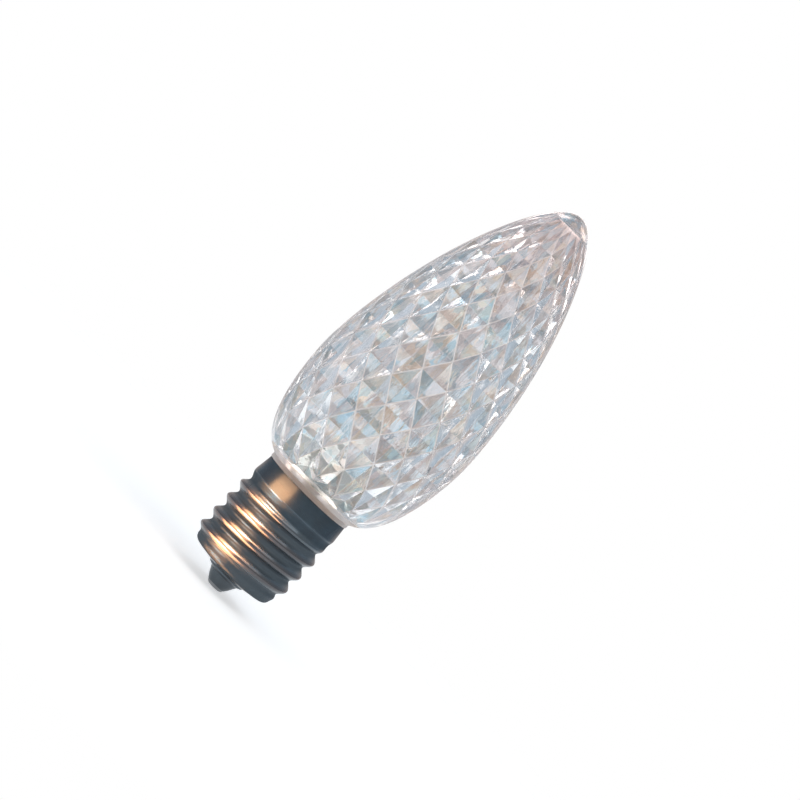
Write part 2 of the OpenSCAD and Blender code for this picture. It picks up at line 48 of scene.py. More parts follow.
def meshFromArrays(name, points, quads, triangles):
    # puts whole arrays of points, four-sided faces and three-sided faces into one smooth mesh
    mesh = bpy.data.meshes.new(name)
    mesh.vertices.add(len(points))
    mesh.vertices.foreach_set("co", (np.asarray(points, float) * mm).ravel())
    corners = np.concatenate([quads.ravel(), triangles.ravel()]).astype(np.int32)
    sides = np.concatenate([np.full(len(quads), 4), np.full(len(triangles), 3)]).astype(np.int32)
    starts = np.concatenate([[0], np.cumsum(sides)[:-1]]).astype(np.int32)
    mesh.loops.add(len(corners))
    mesh.loops.foreach_set("vertex_index", corners)
    mesh.polygons.add(len(sides))
    mesh.polygons.foreach_set("loop_start", starts)
    mesh.polygons.foreach_set("loop_total", sides)
    mesh.polygons.foreach_set("use_smooth", np.ones(len(sides), bool))
    mesh.update(calc_edges=True)
    mesh.validate()
    obj = bpy.data.objects.new(name, mesh)
    bpy.context.scene.collection.objects.link(obj)
    return obj


def ringQuads(ringCount, around, closed=False):
    # joins each ring of points to the next: low left, low right, high right, high left
    rows = np.arange(ringCount if closed else ringCount - 1)
    ring, side = np.meshgrid(rows, np.arange(around), indexing="ij")
    ringUp = (ring + 1) % ringCount
    sideUp = (side + 1) % around
    return np.stack([ring * around + side, ring * around + sideUp,
                     ringUp * around + sideUp, ringUp * around + side], -1).reshape(-1, 4)


def spun(profile, angle):
    # each profile point (radius, height) goes round the axis: (r cos a, r sin a, z)
    radius = profile[:, 0][:, None]
    height = np.repeat(profile[:, 1][:, None], len(angle), 1)
    return np.stack([radius * np.cos(angle), radius * np.sin(angle), height], -1).reshape(-1, 3)


def evenAngles(count, start=0.0):
    return start + np.arange(count) * 2 * math.pi / count


def applyModifiers(obj):
    # the finished mesh takes the place of the one that the modifiers act on
    bpy.context.view_layer.update()
    graph = bpy.context.evaluated_depsgraph_get()
    mesh = bpy.data.meshes.new_from_object(obj.evaluated_get(graph))
    old = obj.data
    obj.modifiers.clear()
    obj.data = mesh
    bpy.data.meshes.remove(old)
    return obj


lens = {
    "widest": 28.2,          # all lengths in millimetres
    "height": 57.2,          # above the collar's rim
    "waist": 18.2,           # height of the widest place
    "heelBow": 1.75,         # exponents of the outline below the waist
    "heelClose": 0.22,
    "noseBow": 1.6,          # and above it
    "noseClose": 0.6,
    "noseRound": 0.06,       # how much blunter the last of the nose is
    "noseRoundReach": 12,
    "neck": 15.5,
    "rim": 20.0,             # height of the collar's rim
    "plugDrop": 4.4,
    "plugRadius": 6.95,
    "plugLeadIn": 0.2,       # chamfer at the plug's foot
    "boreRadius": 6.25,
    "wall": 1.3,
    "diamonds": 16,
    "rows": 15,
    "slope": 0.36,           # height of a pyramid against half its width
    "turn": 18.25,           # degrees
    "firstRow": 2.75,        # height of the first whole row above the rim
    "bandCut": 0.26,         # share of a row left between it and the plain band
    "tipDrop": 1.9,          # how far under the tip the last row lies
    "tipClose": 0.08,        # how much the rows close up toward the tip
    "tipCloseReach": 7,
    "normalReach": 0.3,      # half the length of outline over which its slope is taken
    "around": 192,
    "heelSteps": 44,
    "noseSteps": 110,
    "edgeWidth": 0.12,       # of the rounded edges between facets
    "edgeAngle": 7.0,        # degrees; flatter edges stay sharp
    "plainCut": 0.5,         # cut height given to all that isn't a facet
    # painted glints and painted shade: pale casts given to the facets by the side they face
    "facetLightCasts": [(0.93, 0.96, 1.0), (0.74, 0.90, 0.97), (1.0, 0.90, 0.76),
              (0.84, 0.85, 0.88), (0.98, 0.97, 0.98), (0.50, 0.76, 0.88)],
    # how often each painted glint or painted shade is picked, for the facets up right, up left, down
    # right and down left of an apex and for those cut off by the plain band, following the side each
    # turns to the light
    "facetLightOdds": [(0.30, 0.22, 0.08, 0.14, 0.18, 0.08), (0.26, 0.14, 0.12, 0.28, 0.16, 0.04),
                 (0.22, 0.10, 0.22, 0.18, 0.24, 0.04), (0.22, 0.12, 0.10, 0.32, 0.20, 0.04),
                 (0.00, 0.30, 0.00, 0.10, 0.00, 0.60)],
    "facetLightFade": 0.93,        # the darkest that a facet's cast gets
    "castSeed": 7,
}


def lensOutline(p):
    # below the waist r = R (1 - d^heelBow)^heelClose, with d from 0 at the waist toward 1 at the
    # rim, ending where r is the neck's; above it r = R (1 - u^noseBow)^c, with u from 0 at the
    # waist to 1 at the tip and c = noseClose - noseRound u^noseRoundReach
    radius, neck = p["widest"] / 2, p["neck"] / 2
    neckShare = (1 - (neck / radius) ** (1 / p["heelClose"])) ** (1 / p["heelBow"])
    down = neckShare * np.cos(np.linspace(0, math.pi / 2, p["heelSteps"] + 1))
    up = np.sin(np.linspace(0, math.pi / 2, p["noseSteps"] + 1))[1:]
    heel = np.stack([radius * (1 - down ** p["heelBow"]) ** p["heelClose"],
                     p["rim"] + p["waist"] * (1 - down)], -1)
    close = p["noseClose"] - p["noseRound"] * up ** p["noseRoundReach"]
    nose = np.stack([radius * np.maximum(0, 1 - up ** p["noseBow"]) ** close,
                     p["rim"] + p["waist"] + (p["height"] - p["waist"]) * up], -1)
    return np.concatenate([heel, nose])


def innerFacets(p, outline):
    # rows at z = first + span ((1 + c) s - c s^tipCloseReach), c being tipClose and s from 0 to
    # 1, set in by the wall; where row + column is odd the point is a pyramid's apex and stands
    # in by slope times half a diamond's width; a cut ring below the first row ends the pattern
    rows, columns = p["rows"], 2 * p["diamonds"]
    first, last = p["rim"] + p["firstRow"], p["rim"] + p["height"] - p["tipDrop"]
    share = np.arange(rows + 1) / rows
    closed = (1 + p["tipClose"]) * share - p["tipClose"] * share ** p["tipCloseReach"]
    spotZ = first + (last - first) * closed
    spotZ = np.concatenate([[first - p["bandCut"] * (spotZ[1] - spotZ[0])], spotZ])
    length = np.concatenate([[0], np.cumsum(np.linalg.norm(np.diff(outline, axis=0), axis=1))])
    run = np.interp(spotZ, outline[:, 1], length)
    spot, ahead, behind = (np.stack([np.interp(run + step, length, outline[:, k]) for k in (0, 1)], -1)
                           for step in (0, p["normalReach"], -p["normalReach"]))
    way = ahead - behind
    normal = np.stack([way[:, 1], -way[:, 0]], -1) / np.linalg.norm(way, axis=1)[:, None]
    edge = spot - p["wall"] * normal
    row, column = np.meshgrid(np.arange(-1, rows + 1), np.arange(columns), indexing="ij")
    odd = (row + column) % 2 == 1
    stand = np.where(odd & (row >= 0) & (row < rows), 1.0, 0.0)
    stand[0] = np.where(odd[0], p["bandCut"], 1 - p["bandCut"])
    rise = stand * p["slope"] * edge[:, 0][:, None] * math.sin(2 * math.pi / columns)
    radius = edge[:, 0][:, None] - rise * np.where(row < 0, 1.0, normal[:, 0][:, None])
    height = edge[:, 1][:, None] - rise * np.where(row < 0, 0.0, normal[:, 1][:, None])
    angle = math.radians(p["turn"]) + column * 2 * math.pi / columns
    points = np.stack([radius * np.cos(angle), radius * np.sin(angle), height], -1).reshape(-1, 3)
    tip = np.array([[0, 0, p["rim"] + p["height"] - p["wall"]]])
    at = lambda r, c: (r + 1) * columns + c % columns
    rowOdd, columnOdd = row[odd & (row >= 0)], column[odd & (row >= 0)]
    mid = at(rowOdd, columnOdd)
    left, right = at(rowOdd, columnOdd - 1), at(rowOdd, columnOdd + 1)
    above, below = at(rowOdd + 1, columnOdd), at(rowOdd - 1, columnOdd)
    upper, lower, low = rowOdd < rows, rowOdd > 0, rowOdd == 0
    cutRight, cutLeft = at(rowOdd - 1, columnOdd + 1), at(rowOdd - 1, columnOdd - 1)
    # faces look at the axis, so each goes clockwise as seen from outside
    diamonds = [np.stack([mid, above, right], -1)[upper], np.stack([mid, left, above], -1)[upper],
                np.stack([mid, right, below], -1)[lower], np.stack([mid, below, left], -1)[lower]]
    cut = [np.stack([mid, right, cutRight], -1)[low], np.stack([mid, cutRight, below], -1)[low],
           np.stack([mid, below, cutLeft], -1)[low], np.stack([mid, cutLeft, left], -1)[low]]
    cols = np.arange(columns)
    cap = [np.stack([at(rows, cols), np.full(columns, len(points)), at(rows, cols + 1)], -1)]
    kinds = [np.full(len(group), k) for k, group in enumerate(diamonds)]
    kinds += [np.full(len(group), 4) for group in cut] + [np.full(columns, 1)]
    return (np.concatenate([points, tip]), np.concatenate(diamonds + cut + cap),
            np.concatenate(kinds), np.append(stand.ravel(), p["plainCut"]))


def markFacets(p, mesh, firstFace, kind, firstPoint, stand):
    # each facet gets a painted glint or painted shade, a pale cast picked with odds by the side it faces;
    # the fourth value tells a facet from the smooth outside, and cutHeight runs from 0 on a ridge to 1 at
    # an apex
    rng = np.random.default_rng(p["castSeed"])
    pick = np.zeros(len(kind), int)
    for side, odds in enumerate(p["facetLightOdds"]):
        here = kind == side
        pick[here] = rng.choice(len(odds), here.sum(), p=odds)
    colour = np.ones((len(mesh.polygons), 4), np.float32)
    colour[:, 3] = 0
    facets = slice(firstFace, firstFace + len(kind))
    colour[facets, :3] = np.array(p["facetLightCasts"])[pick] * rng.uniform(p["facetLightFade"], 1.0, (len(kind), 1))
    colour[facets, 3] = 1
    mesh.attributes.new("facetLightCast", "FLOAT_COLOR", "FACE").data.foreach_set("color", colour.ravel())
    ridge = np.full(len(mesh.vertices), p["plainCut"], np.float32)
    ridge[firstPoint:firstPoint + len(stand)] = stand
    mesh.attributes.new("cutHeight", "FLOAT", "POINT").data.foreach_set("value", ridge)


def makeLens(p):
    # smooth outside and faceted inside, closed at the tip and joined under the plug
    outline = lensOutline(p)
    plugFoot, plug = p["rim"] - p["plugDrop"], p["plugRadius"]
    neck = np.array([[plug - p["plugLeadIn"], plugFoot], [plug, plugFoot + p["plugLeadIn"]],
                     [plug, p["rim"]], [p["neck"] / 2, p["rim"]]])
    profile = np.concatenate([neck, outline[:-1]])
    around, columns = p["around"], 2 * p["diamonds"]
    turn = math.radians(p["turn"])
    # the outer rings start at the same angle as the facets, so the two meet evenly
    outside = spun(profile, evenAngles(around, turn))
    facets, facetFaces, kind, stand = innerFacets(p, outline)
    bore = spun(np.array([[p["boreRadius"], facets[0, 2]], [p["boreRadius"], plugFoot]]),
                evenAngles(columns, turn))
    tip = np.array([[0, 0, outline[-1, 1]]])
    points = np.concatenate([outside, tip, facets, bore])
    tipAt = len(outside)
    facetAt = tipAt + 1
    boreAt = facetAt + len(facets)
    sides, cols = np.arange(around), np.arange(columns)
    nxt = (cols + 1) % columns
    lastRing = tipAt - around
    # floor of the cavity and then the bore's wall, both seen from inside
    quads = np.concatenate([
        ringQuads(len(profile), around),
        np.stack([facetAt + cols, facetAt + nxt, boreAt + nxt, boreAt + cols], -1),
        np.stack([boreAt + cols, boreAt + nxt, boreAt + columns + nxt, boreAt + columns + cols], -1)])
    # the ring under the plug joins the bore's few sides to the outer ring's many
    per = around // columns
    footRing = boreAt + columns
    fan = cols[:, None] * per + np.arange(per)[None, :]
    nose = np.stack([lastRing + sides, lastRing + (sides + 1) % around, np.full(around, tipAt)], -1)
    footFan = np.stack([np.repeat((footRing + cols)[:, None], per, 1), (fan + 1) % around, fan], -1)
    footStep = np.stack([footRing + cols, footRing + nxt, (cols + 1) * per % around], -1)
    obj = meshFromArrays("bulbLens", points, quads, np.concatenate(
        [nose, facetAt + facetFaces, footFan.reshape(-1, 3), footStep]))
    # only the outside and its nose are smooth
    smooth = np.zeros(len(obj.data.polygons), bool)
    smooth[:(len(profile) - 1) * around] = True
    smooth[len(quads):len(quads) + around] = True
    obj.data.polygons.foreach_set("use_smooth", smooth)
    markFacets(p, obj.data, len(quads) + around, kind, facetAt, stand)
    bevel = obj.modifiers.new("softEdges", "BEVEL")
    bevel.width = p["edgeWidth"] * mm
    bevel.segments = 1
    bevel.limit_method = "ANGLE"
    bevel.angle_limit = math.radians(p["edgeAngle"])
    return applyModifiers(obj)


shell = {
    "threadDiameter": 16.6,
    "threadDepth": 0.95,
    "pitch": 2.822,
    "wall": 0.3,
    "collar": 15.2,
    "bulge": 15.9,
    "rim": 20.0,
    "grooveDrop": 4.4,
    "bulgeDrop": 2.9,
    "foot": 3.45,
    "footHole": 12.4,
    "footCorner": (0.9, 0.95),    # width and height of the curl between wall and foot
    "crestHeight": 5.7,           # height of a crest on the -X side
    "threadIn": 1.2,              # rise over which the thread grows to its full depth
    "threadEnd": 1.0,             # how far below the last groove it starts to fade
    "threadFade": (0.62, 0.34, 0.2, 0.08),  # what is left of it from there up to the bulge
    "bulgeReach": (0.25, 0.5),    # how far the bulge keeps its width, below and above its middle
    "bulgeEase": 0.03,
    "collarRound": 0.06,
    "blur": 7,                    # how many rows the curves are eased over
    "around": 168,
    "rows": 150,
    "cornerRows": 11,
    "footRows": 3,
    "metallic": (0.12, 0.8),      # at the thread's root and at its crest
    "metallicReach": (0.1, 0.35),  # how far out of the root it starts and how far in it ends
    "onThread": 0.3,              # height over which thread and collar change colour
    "collarShine": (16.7, 17.0),  # heights between which the collar takes on its shine
    "rimDull": (18.2, 19.9),      # and those between which it fades again
    "rimShine": 0.35,             # what is left of it at the rim
    "clean": (0.085, 0.115, 0.14),
    "worn": (0.070, 0.085, 0.10),
    # painted lighter than the collar's metal, to make up for the shade in the thread
    "thread": (0.125, 0.15, 0.17),
    "crest": (0.13, 0.125, 0.13),
    "stain": (420.0, 0.7),        # scale and amount
    "grain": (700.0, 0.16, 0.3),  # scale, lowest and highest roughness
    "rollingLines": (120.0, 120.0, 2600.0),
    "bump": (0.12, 0.00003),
}


def ease(share):
    # smooth step: 3 s^2 - 2 s^3 between 0 and 1
    s = np.clip(share, 0, 1)
    return s * s * (3 - 2 * s)


def makeShell(p):
    # a thin sheet: the section goes up the outside and down the inside, and where the thread
    # share isn't 0 the radius moves by depth/2 cos(angle - 180 - 360 (z - crest)/pitch)
    wave = p["threadDepth"] / 2
    body = p["threadDiameter"] / 2 - wave
    low = body - wave
    top, foot = p["rim"], p["foot"]
    groove, bulge = top - p["grooveDrop"], top - p["bulgeDrop"]
    cornerWidth, cornerHeight = p["footCorner"]
    corner = foot + cornerHeight
    start, end = p["threadIn"], p["threadEnd"]
    knotZ = np.array([corner, corner + start / 4, corner + start / 2, corner + start * 0.75,
                      corner + start, groove - end, groove - end / 2, groove, (groove + bulge) / 2,
                      bulge - p["bulgeReach"][0], bulge, bulge + p["bulgeReach"][1],
                      (bulge + top) / 2, top])
    share = ease((knotZ[:6] - corner) / start)
    collar, swell = p["collar"] / 2, p["bulge"] / 2
    middle = (collar + swell) / 2
    knotR = np.concatenate([low + (body - low) * share,
                            [collar + p["collarRound"], collar, middle, swell - p["bulgeEase"],
                             swell, swell - 2 * p["bulgeEase"], middle, collar]])
    knotShare = np.concatenate([share, p["threadFade"], [0, 0, 0, 0]])
    height = np.linspace(corner, top, p["rows"])
    blur = p["blur"]
    soft = lambda values: np.convolve(np.pad(np.interp(height, knotZ, values), blur // 2, "edge"),
                                      np.ones(blur) / blur, "valid")
    radius, threadShare = soft(knotR), np.clip(soft(knotShare), 0, 1)
    bend = np.linspace(0, math.pi / 2, p["cornerRows"] + 1)[:-1]
    curl = np.stack([low - cornerWidth * (1 - np.sin(bend)), corner - cornerHeight * np.cos(bend)], -1)
    hole = np.stack([np.linspace(p["footHole"] / 2, low - cornerWidth, p["footRows"] + 1)[:-1],
                     np.full(p["footRows"], foot)], -1)
    line = np.concatenate([hole, curl, np.stack([radius, height], -1)])
    threaded = np.concatenate([np.zeros(len(hole) + len(curl)), threadShare])
    way = np.gradient(line, axis=0)
    inward = np.stack([-way[:, 1], way[:, 0]], -1) / np.linalg.norm(way, axis=1)[:, None]
    inside = line + inward * p["wall"]
    inside[-1, 1] = top
    loop = np.concatenate([line, inside[::-1]])
    loopShare = np.concatenate([threaded, threaded[::-1]])
    angle = evenAngles(p["around"])
    turns = (loop[:, 1][:, None] - p["crestHeight"]) / p["pitch"]
    full = loop[:, 0][:, None] + loopShare[:, None] * wave * np.cos(angle - math.pi - 2 * math.pi * turns)
    points = np.stack([full * np.cos(angle), full * np.sin(angle),
                       np.repeat(loop[:, 1][:, None], len(angle), 1)], -1).reshape(-1, 3)
    quads = ringQuads(len(loop), len(angle), closed=True)
    return meshFromArrays("screwShell", points, quads, np.zeros((0, 3), int))


def newGroup(name, inputs, outputs):
    group = bpy.data.node_groups.new(name, "ShaderNodeTree")
    for label, kind, value in inputs:
        socket = group.interface.new_socket(name=label, in_out="INPUT", socket_type=kind)
        if value is not None:
            socket.default_value = value
    for label, kind in outputs:
        group.interface.new_socket(name=label, in_out="OUTPUT", socket_type=kind)
    return group, group.nodes.new("NodeGroupInput"), group.nodes.new("NodeGroupOutput")


def feed(link, value, socket):
    # what another node puts out is linked, anything else is typed into the socket
    if isinstance(value, bpy.types.NodeSocket):
        link(value, socket)
    elif isinstance(value, (tuple, list)) and len(value) == 3 and socket.type == "RGBA":
        socket.default_value = (*value, 1)
    else:
        socket.default_value = value


def mapped(tree, link, value, low, high, toLow=0.0, toHigh=1.0, smooth=False):
    node = tree.new("ShaderNodeMapRange")
    node.interpolation_type = "SMOOTHSTEP" if smooth else "LINEAR"
    for label, given in (("Value", value), ("From Min", low), ("From Max", high),
                         ("To Min", toLow), ("To Max", toHigh)):
        feed(link, given, node.inputs[label])
    return node.outputs["Result"]


def blended(tree, link, factor, first, second, kind="MIX"):
    node = tree.new("ShaderNodeMix")
    node.data_type = "RGBA"
    node.blend_type = kind
    for label, given in (("Factor", factor), ("A", first), ("B", second)):
        feed(link, given, node.inputs[label])
    return node.outputs["Result"]


def calculated(tree, link, operation, first, second):
    node = tree.new("ShaderNodeMath")
    node.operation = operation
    feed(link, first, node.inputs[0])
    feed(link, second, node.inputs[1])
    return node.outputs[0]


def vectorOf(tree, link, operation, *values):
    # a vector, or the plain number that a length or a dot product gives
    node = tree.new("ShaderNodeVectorMath")
    node.operation = operation
    for given, socket in zip(values, node.inputs):
        feed(link, given, socket)
    return node.outputs["Value" if operation in ("LENGTH", "DOT_PRODUCT") else "Vector"]


def objectPlace(tree, link):
    # the place on the object, and its height alone
    place = tree.new("ShaderNodeTexCoord").outputs["Object"]
    split = tree.new("ShaderNodeSeparateXYZ")
    link(place, split.inputs[0])
    return place, split.outputs["Z"]


def stretched(tree, link, place, stretch):
    mapping = tree.new("ShaderNodeMapping")
    mapping.inputs["Scale"].default_value = stretch
    link(place, mapping.inputs["Vector"])
    return mapping.outputs["Vector"]


def noiseAt(tree, link, place, scale, detail):
    noise = tree.new("ShaderNodeTexNoise")
    noise.inputs["Detail"].default_value = detail
    feed(link, scale, noise.inputs["Scale"])
    link(place, noise.inputs["Vector"])
    return noise.outputs["Fac"]


shared = {
    "broadShare": 0.18,          # scale of the fine grain's broad layer against its fine one
    "fineDetail": 5.0,
    "broadDetail": 3.0,
    "grainContrast": (0.3, 0.7),
    "stainDetail": 6.0,
    "stainContrast": (0.38, 0.66),
}


def fineGrainGroup(p):
    # noise in object space: one fine layer for bump and one broad layer for roughness
    group, given, out = newGroup(
        "fineGrain",
        [("Scale", "NodeSocketFloat", 900.0), ("Low", "NodeSocketFloat", 0.2),
         ("High", "NodeSocketFloat", 0.35)],
        [("Roughness", "NodeSocketFloat"), ("Height", "NodeSocketFloat"), ("Mask", "NodeSocketFloat")])
    tree, link = group.nodes, group.links.new
    place = tree.new("ShaderNodeTexCoord").outputs["Object"]
    broadScale = calculated(tree, link, "MULTIPLY", given.outputs["Scale"], p["broadShare"])
    broad = noiseAt(tree, link, place, broadScale, p["broadDetail"])
    rough = mapped(tree, link, broad, *p["grainContrast"], given.outputs["Low"], given.outputs["High"])
    link(rough, out.inputs["Roughness"])
    link(noiseAt(tree, link, place, given.outputs["Scale"], p["fineDetail"]), out.inputs["Height"])
    link(broad, out.inputs["Mask"])
    return group


def tarnishGroup(p):
    # two colours mixed by broad noise in object space, pushed apart by a contrast
    group, given, out = newGroup(
        "tarnish",
        [("Clean", "NodeSocketColor", None), ("Dull", "NodeSocketColor", None),
         ("Scale", "NodeSocketFloat", 300.0), ("Amount", "NodeSocketFloat", 0.5)],
        [("Color", "NodeSocketColor")])
    tree, link = group.nodes, group.links.new
    place = tree.new("ShaderNodeTexCoord").outputs["Object"]
    noise = noiseAt(tree, link, place, given.outputs["Scale"], p["stainDetail"])
    push = mapped(tree, link, noise, *p["stainContrast"], 0.0, given.outputs["Amount"])
    link(blended(tree, link, push, given.outputs["Clean"], given.outputs["Dull"]), out.inputs["Color"])
    return group


fineGrain = fineGrainGroup(shared)
tarnish = tarnishGroup(shared)
print("shared effects built")


def startMaterial(name, **fixed):
    # a Principled shader with the values that don't change over the surface on its own sockets
    material = bpy.data.materials.new(name)
    material.use_nodes = True
    shader = material.node_tree.nodes["Principled BSDF"]
    for label, value in fixed.items():
        shader.inputs[label.replace("_", " ")].default_value = value
    return material, shader, material.node_tree.nodes, material.node_tree.links.new


def addGroup(tree, link, group, **values):
    node = tree.new("ShaderNodeGroup")
    node.node_tree = group
    for label, value in values.items():
        feed(link, value, node.inputs[label])
    return node


def addGrain(tree, link, scale, low, high):
    return addGroup(tree, link, fineGrain, Scale=scale, Low=low, High=high)


def addStain(tree, link, scale, amount, clean, dull):
    stain = addGroup(tree, link, tarnish, Scale=scale, Amount=amount, Clean=clean, Dull=dull)
    return stain.outputs["Color"]


def addBump(tree, link, shader, height, strength, distance):
    bump = tree.new("ShaderNodeBump")
    bump.inputs["Strength"].default_value = strength
    bump.inputs["Distance"].default_value = distance
    link(height, bump.inputs["Height"])
    link(bump.outputs["Normal"], shader.inputs["Normal"])


plastic = {
    "bend": 1.56,                     # refractive index
    "clear": (1.0, 1.0, 1.0),
    "cloud": (0.93, 0.95, 0.97),
    "clouds": (160.0, 0.5),           # scale and amount
    "frost": (21.9, 21.6),            # heights over which the heel gets frosted
    "frostRough": 0.34,
    "frostWarmLightTint": (1.0, 0.86, 0.79),
    "glintCell": (0.8, 0.8, 2.1),         # size of the glints' cells
    "ragged": (1.3, 1.3, 0.8),        # how far a noise shifts their borders, in cells
    "raggedNoise": (1100.0, 1100.0, 600.0),
    "glintShadeDim": 0.64,
    "glintTints": [(0.0, (1.0, 0.87, 0.74)), (0.14, (1.0, 0.96, 0.96)), (0.54, (0.94, 0.97, 1.0)),
                   (0.82, (0.72, 0.87, 0.96)), (0.94, (0.54, 0.77, 0.90))],
    "haze": (73.0, 75.6),             # heights over which the tip gets hazy too
    "hazeRough": 0.3,
    # painted shade: the nose darkens and warms toward the tip
    "nose": (57.0, 77.0),             # heights over which the nose gets its own cast
    "noseShadeTint": (0.89, 0.815, 0.805),
    "ridgeHighlightTint": (1.0, 0.95, 0.93),
    "ridgeWidth": 0.09,
    "ridgeRough": 0.22,
    "grain": (420.0, 0.02, 0.07),     # scale, lowest and highest roughness
    "streaks": (1500.0, 1500.0, 260.0),
    "bump": (0.27, 0.0001),
}


def paintedGlintCells(p, tree, link, place):
    # cells with ragged borders, each with a tint picked from the list and a brightness of its own:
    # painted glints and painted shade
    ragged = noiseAt(tree, link, stretched(tree, link, place, p["raggedNoise"]), 1.0, 3.0)
    cells = stretched(tree, link, place, [1 / (size * mm) for size in p["glintCell"]])
    glintVoronoi = tree.new("ShaderNodeTexVoronoi")
    glintVoronoi.inputs["Scale"].default_value = 1.0
    link(vectorOf(tree, link, "MULTIPLY_ADD", ragged, p["ragged"], cells), glintVoronoi.inputs["Vector"])
    parts = tree.new("ShaderNodeSeparateColor")
    link(glintVoronoi.outputs["Color"], parts.inputs[0])
    tints = tree.new("ShaderNodeValToRGB")
    tints.color_ramp.interpolation = "CONSTANT"
    ramp = tints.color_ramp.elements
    ramp[0].color = (*p["glintTints"][0][1], 1)
    ramp[1].position, ramp[1].color = p["glintTints"][-1][0], (*p["glintTints"][-1][1], 1)
    for spot, tint in p["glintTints"][1:-1]:
        ramp.new(spot).color = (*tint, 1)
    link(parts.outputs["Green"], tints.inputs["Fac"])
    dim = mapped(tree, link, parts.outputs["Red"], 0.0, 1.0, p["glintShadeDim"], 1.0)
    grey = tree.new("ShaderNodeCombineColor")
    for label in ("Red", "Green", "Blue"):
        link(dim, grey.inputs[label])
    return blended(tree, link, 1.0, tints.outputs["Color"], grey.outputs["Color"], "MULTIPLY")


def lensFinish(p):
    # clear plastic: each facet's painted glint or shade times cells of painted glints, with painted
    # highlights on the ridges, fine streaks along the axis on the facets, slight ripples outside, frost
    # with painted warm light on the heel, a haze over the tip and painted warm shade that grows toward it
    material, shader, tree, link = startMaterial(
        "clearLens", Metallic=0.0, IOR=p["bend"], Transmission_Weight=1.0)
    place, z = objectPlace(tree, link)
    frost = mapped(tree, link, z, p["frost"][0] * mm, p["frost"][1] * mm)
    haze = mapped(tree, link, z, p["haze"][0] * mm, p["haze"][1] * mm, smooth=True)
    nose = mapped(tree, link, z, p["nose"][0] * mm, p["nose"][1] * mm)
    cast = tree.new("ShaderNodeAttribute")
    cast.attribute_name = "facetLightCast"
    cut = tree.new("ShaderNodeAttribute")
    cut.attribute_name = "cutHeight"
    onFacet = cast.outputs["Alpha"]
    ridge = mapped(tree, link, cut.outputs["Fac"], p["ridgeWidth"], p["ridgeWidth"] / 3)
    ridge = calculated(tree, link, "MULTIPLY", ridge, onFacet)
    grain = addGrain(tree, link, *p["grain"])
    stain = addStain(tree, link, *p["clouds"], p["clear"], p["cloud"])
    colour = blended(tree, link, 1.0, cast.outputs["Color"], stain, "MULTIPLY")
    glintMask = calculated(tree, link, "MAXIMUM", onFacet, haze)
    # painted glints and painted shade, in cells over the facets and the hazy tip
    colour = blended(tree, link, glintMask, colour, paintedGlintCells(p, tree, link, place), "MULTIPLY")
    # painted highlight: the rounded ridges between the facets turn pale
    colour = blended(tree, link, ridge, colour, p["ridgeHighlightTint"])
    # painted shade: darker and warmer toward the tip
    colour = blended(tree, link, nose, colour, p["noseShadeTint"], "MULTIPLY")
    # painted warm light: the frosted heel takes a pinkish tint
    link(blended(tree, link, frost, colour, p["frostWarmLightTint"]), shader.inputs["Base Color"])
    rough = grain.outputs["Roughness"]
    for mask, most in ((ridge, p["ridgeRough"]), (frost, p["frostRough"]), (haze, p["hazeRough"])):
        rough = calculated(tree, link, "MAXIMUM", rough, calculated(tree, link, "MULTIPLY", mask, most))
    link(rough, shader.inputs["Roughness"])
    streaks = noiseAt(tree, link, stretched(tree, link, place, p["streaks"]), 1.0, 3.0)
    height = tree.new("ShaderNodeMix")
    for label, given in (("Factor", onFacet), ("A", grain.outputs["Mask"]), ("B", streaks)):
        feed(link, given, height.inputs[label])
    addBump(tree, link, shader, height.outputs["Result"], *p["bump"])
    return material


def shellFinish(p):
    # slate metal, dull down in the thread and bare and browner where its crests stand out, with a shine
    # round the collar and fine rolling lines; the thread's metal is painted lighter than the collar's to
    # make up for the shade in it
    material, shader, tree, link = startMaterial("rolledShell", Specular_IOR_Level=0.0)
    place, z = objectPlace(tree, link)
    reach = vectorOf(tree, link, "LENGTH", vectorOf(tree, link, "MULTIPLY", place, (1, 1, 0)))
    outer = p["threadDiameter"] / 2
    root = outer - p["threadDepth"]
    crest = mapped(tree, link, reach, (outer - p["threadDepth"] / 3) * mm, outer * mm)
    bare = mapped(tree, link, reach, (root + p["metallicReach"][0]) * mm,
                  (outer - p["metallicReach"][1]) * mm, *p["metallic"])
    groove = p["rim"] - p["grooveDrop"]
    threadTop = groove - p["onThread"]
    onCollar = mapped(tree, link, z, threadTop * mm, groove * mm)
    onThread = mapped(tree, link, z, groove * mm, threadTop * mm)
    collarBare = mapped(tree, link, z, p["collarShine"][0] * mm, p["collarShine"][1] * mm, *p["metallic"])
    bare = calculated(tree, link, "MAXIMUM", calculated(tree, link, "MULTIPLY", bare, onThread),
                      calculated(tree, link, "MULTIPLY", collarBare, onCollar))
    shine = mapped(tree, link, z, p["rimDull"][0] * mm, p["rimDull"][1] * mm, 1.0, p["rimShine"])
    link(calculated(tree, link, "MULTIPLY", bare, shine), shader.inputs["Metallic"])
    stain = addStain(tree, link, *p["stain"], p["clean"], p["worn"])
    # painted fill: the thread's metal is lighter than the collar's to make up for its shade
    colour = blended(tree, link, onCollar, p["thread"], stain)
    link(blended(tree, link, crest, colour, p["crest"]), shader.inputs["Base Color"])
    link(addGrain(tree, link, *p["grain"]).outputs["Roughness"], shader.inputs["Roughness"])
    lines = noiseAt(tree, link, stretched(tree, link, place, p["rollingLines"]), 1.0, 2.0)
    addBump(tree, link, shader, lines, *p["bump"])
    return material


resistor = {
    "body": (0.55, 0.40, 0.24),
    "bandWidth": 0.08,
    "bands": [(0.16, (0.45, 0.05, 0.03)), (0.40, (0.35, 0.05, 0.3)),
              (0.58, (0.5, 0.2, 0.02)), (0.80, (0.55, 0.42, 0.08))],
    "grain": (900.0, 0.3, 0.45),
    "bump": (0.15, 0.00002),
}


